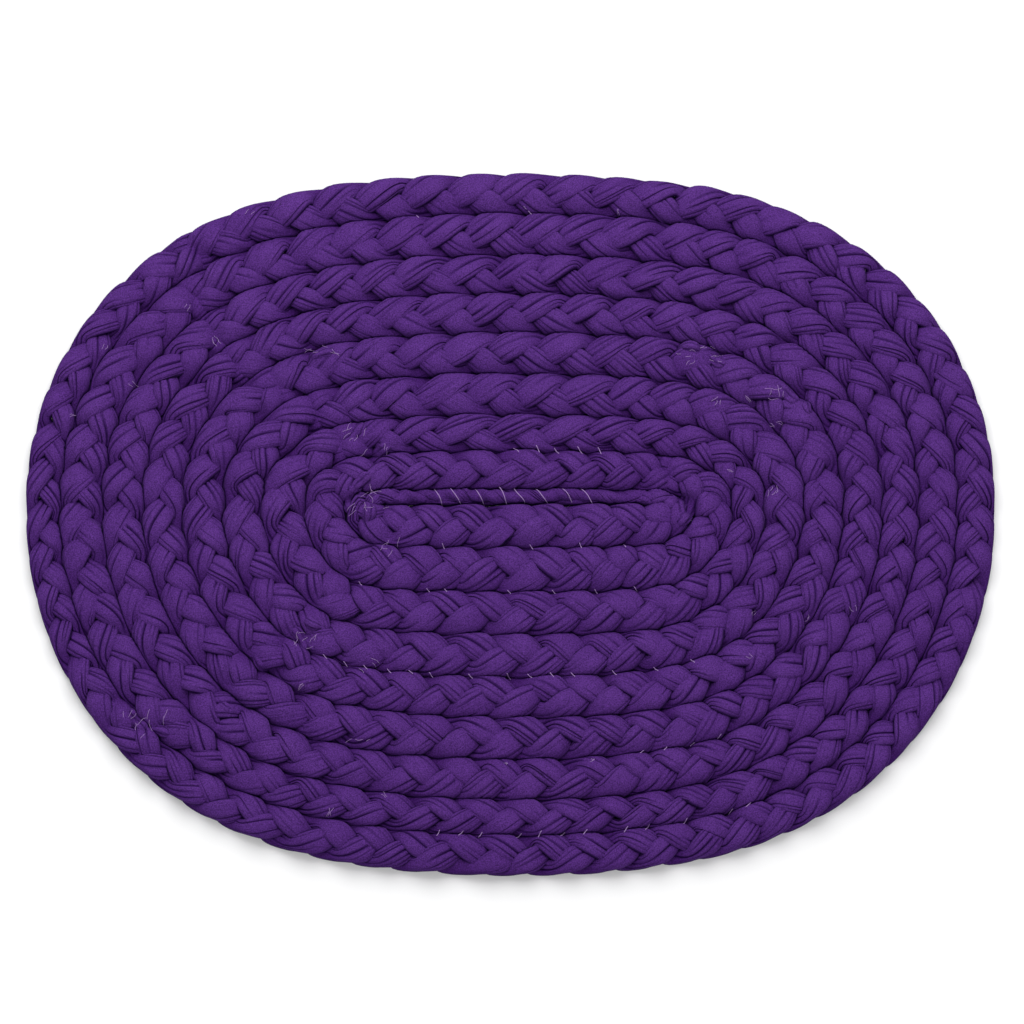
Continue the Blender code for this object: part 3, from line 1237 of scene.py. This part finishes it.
    def _stitches(self, rng: np.random.Generator) -> list[ThreadLine]:
        """Place the stitches of every run.

        Args:
            rng: the seeded random source.

        Returns:
            The stitches that show.
        """
        lines = []
        for run in self.runs:
            points, _, _ = self.oval.even(run.place)
            points = points[np.sign(points[:, 1] - self.oval.core_y) == run.side]
            points = points[np.argsort(points[:, 0])]
            for number in range(int((run.last_x - run.first_x) / run.every) + 1):
                x = run.first_x + (number + rng.uniform(-self.step_stray, self.step_stray)) * run.every
                y = float(np.interp(x, points[:, 0], points[:, 1]))
                shown = rng.uniform() < run.shown
                slant = run.slant + rng.uniform(-self.slant_stray, self.slant_stray)
                plan = self._plan(rng, (x, y), run.length, slant, self.bend)
                if shown:
                    lines.append(ThreadLine(plan, self.radius, self.dive))
        return lines

    def _frays(self, rng: np.random.Generator) -> list[ThreadLine]:
        """Place the thread ends of every tuft.

        Args:
            rng: the seeded random source.

        Returns:
            The thread ends.
        """
        lines = []
        for end in self.ends:
            for _ in range(end.number):
                x = end.x + end.spread * rng.uniform(-1, 1)
                y = end.y + end.spread * rng.uniform(-1, 1) * self.fray_depth
                slant = end.slant + end.stray * rng.uniform(-1, 1)
                length = end.length * rng.uniform(*self.fray_lengths)
                plan = self._plan(rng, (x, y), length, slant, self.fray_bend)
                lines.append(ThreadLine(plan, self.fray_radius, self.fray_dive))
        return lines

    def _plan(
        self, rng: np.random.Generator, middle: tuple[float, float], length: float, slant: float, bend: float
    ) -> np.ndarray:
        """Lay a bent line on the plan.

        Args:
            rng: the seeded random source.
            middle: its middle point in mm.
            length: its length in mm.
            slant: its direction in degrees.
            bend: the most that it bends sideways, as a share of its length.

        Returns:
            One row of x and y in mm for each ring of the thread.
        """
        share = np.linspace(-0.5, 0.5, self.steps + 1)
        arch = bend * rng.uniform(-1, 1) * np.cos(math.pi * share)
        curl = bend / 3 * rng.uniform(-1, 1) * np.sin(2 * math.pi * share)
        angle = math.radians(slant)
        along = np.array((math.cos(angle), math.sin(angle)))
        beside = np.array((-along[1], along[0]))
        return np.array(middle) + length * (share[:, None] * along + (arch + curl)[:, None] * beside)

    def _lay(self, master: bpy.types.Object, line: ThreadLine) -> bpy.types.Object:
        """Lay a copy of the stitch over the cloth.

        Args:
            master: the straight stitch.
            line: where it goes.

        Returns:
            The copy, with a mesh of its own.
        """
        height = np.array([cloth_height(self.cloth, x, y) for x, y in line.plan])
        for _ in range(self.pulls):
            height[1:-1] = np.maximum(height[1:-1], (height[:-2] + height[2:]) / 2)
        share = np.linspace(-1.0, 1.0, len(line.plan))
        height = height + self.rest * line.radius - line.dive * share**self.dive_power
        path = np.column_stack([line.plan, np.maximum(height, line.radius)])
        side, up = side_and_up(np.gradient(path, axis=0))
        copy = master.copy()
        copy.data = master.data.copy()
        bpy.context.scene.collection.objects.link(copy)
        corners = np.empty(len(copy.data.vertices) * 3, dtype="f")
        copy.data.vertices.foreach_get("co", corners)
        corners = corners.reshape(-1, 3)
        ring = np.rint(corners[:, 2] * self.steps).astype(int)
        across = corners[:, :1] * side[ring] + corners[:, 1:2] * up[ring]
        laid = (path[ring] + line.radius * across) * MM
        copy.data.vertices.foreach_set("co", laid.astype("f").ravel())
        return copy


# --------------------------------------------------------------------------------------------
# studio
# --------------------------------------------------------------------------------------------


@dataclass(frozen=True)
class SoftLight:
    """One large square lamp that points at the rug."""

    name: str
    place: tuple[float, float, float]
    size: float
    power: float

    def add(self) -> None:
        """Put the lamp in the scene."""
        bpy.ops.object.light_add(type="AREA", location=self.place)
        lamp = bpy.context.active_object
        lamp.name = self.name
        lamp.data.shape = "SQUARE"
        lamp.data.size = self.size
        lamp.data.energy = self.power
        x, y, z = self.place
        lamp.rotation_euler = (math.atan2(math.hypot(x, y), z), 0.0, math.atan2(y, x) + math.pi / 2)


@dataclass(frozen=True)
class Studio:
    """White paper floor, soft lamps and the photograph's camera."""

    floor_size: float = 9.0
    elevation: float = math.radians(74)
    distance: float = 2.38
    lens: float = 135.0
    aim_height: float = 0.007
    aim_right: float = 0.0008        # the rug's middle lies this far left of the frame's middle
    aim_up: float = 0.0019           # and this far below it
    lamps: tuple[SoftLight, ...] = (
        SoftLight("back_lamp", place=(-0.10, 1.00, 1.15), size=2.0, power=37.0),
        SoftLight("front_lamp", place=(0.2, -1.40, 1.80), size=1.8, power=17.0),
    )
    sky: float = 0.50

    def build(self) -> None:
        """Build the floor, the lamps, the sky and the camera."""
        self._floor()
        for lamp in self.lamps:
            lamp.add()
        self._sky()
        self._camera()

    def _floor(self) -> None:
        """Lay the paper floor."""
        bpy.ops.mesh.primitive_plane_add(size=self.floor_size, location=(0.0, 0.0, 0.0))
        floor = bpy.context.active_object
        floor.name = "paper_floor"
        floor.data.materials.append(StudioPaper().material())

    def _sky(self) -> None:
        """Light the scene evenly from all around."""
        world = bpy.data.worlds.new("studio")
        world.use_nodes = True
        sky = world.node_tree.nodes["Background"]
        sky.inputs["Color"].default_value = WHITE
        sky.inputs["Strength"].default_value = self.sky
        bpy.context.scene.world = world
        bpy.context.scene.view_settings.view_transform = "Standard"

    def _camera(self) -> None:
        """Set up the camera at the photograph's angle."""
        lean = math.pi / 2 - self.elevation
        up = (0.0, math.cos(lean), math.sin(lean))
        back = (0.0, -math.sin(lean), math.cos(lean))
        aim = (self.aim_right, self.aim_up * up[1], self.aim_height + self.aim_up * up[2])
        place = tuple(a + self.distance * b for a, b in zip(aim, back))
        bpy.ops.object.camera_add(location=place, rotation=(lean, 0.0, 0.0))
        camera = bpy.context.active_object
        camera.name = "photo_camera"
        camera.data.lens = self.lens
        bpy.context.scene.camera = camera


# --------------------------------------------------------------------------------------------
# the whole rug
# --------------------------------------------------------------------------------------------


@dataclass(frozen=True)
class LapPlan:
    """How one lap is plaited."""

    lobes: int                       # on each of its two sides
    turned: tuple[float, float]      # the bearings in degrees between which they point back


@dataclass
class BraidedRug:
    """The whole rug."""

    oval: Oval = field(default_factory=Oval)
    laps: tuple[LapPlan, ...] = (
        LapPlan(lobes=18, turned=(170.0, 190.0)),
        LapPlan(lobes=24, turned=(12.0, 201.0)),
        LapPlan(lobes=27, turned=(159.0, 206.0)),
        LapPlan(lobes=33, turned=(155.0, 211.0)),
        LapPlan(lobes=39, turned=(153.0, 210.0)),
        LapPlan(lobes=45, turned=(152.0, 213.0)),
        LapPlan(lobes=51, turned=(149.0, 218.0)),
        LapPlan(lobes=57, turned=(145.0, 214.0)),
        LapPlan(lobes=63, turned=(140.0, 208.0)),
    )

    def build(self) -> None:
        """Build every lap of the braid, the cut ends of its strips and the thread."""
        cloth = JerseyCloth().material()
        pieces = []
        for number, plan in enumerate(self.laps, start=1):
            piece = BraidLap(self.oval, number, plan.lobes, plan.turned, cloth).build()
            pieces.append(piece)
            log.info("lap %d: %d lobes a side, %d faces", number, plan.lobes, len(piece.data.polygons))
        pieces.append(StripTails(cloth, pieces).build())
        log.info("strip tails: %d faces", len(pieces[-1].data.polygons))
        lacing = Lacing(self.oval, LacingThread().material(), pieces).build()
        log.info("lacing: %d faces", len(lacing.data.polygons))


def main() -> None:
    """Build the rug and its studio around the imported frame."""
    logging.basicConfig(level=logging.INFO, format="%(name)s: %(message)s")
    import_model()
    bpy.ops.object.select_all(action="DESELECT")
    BraidedRug().build()
    Studio().build()


if __name__ == "__main__":
    main()
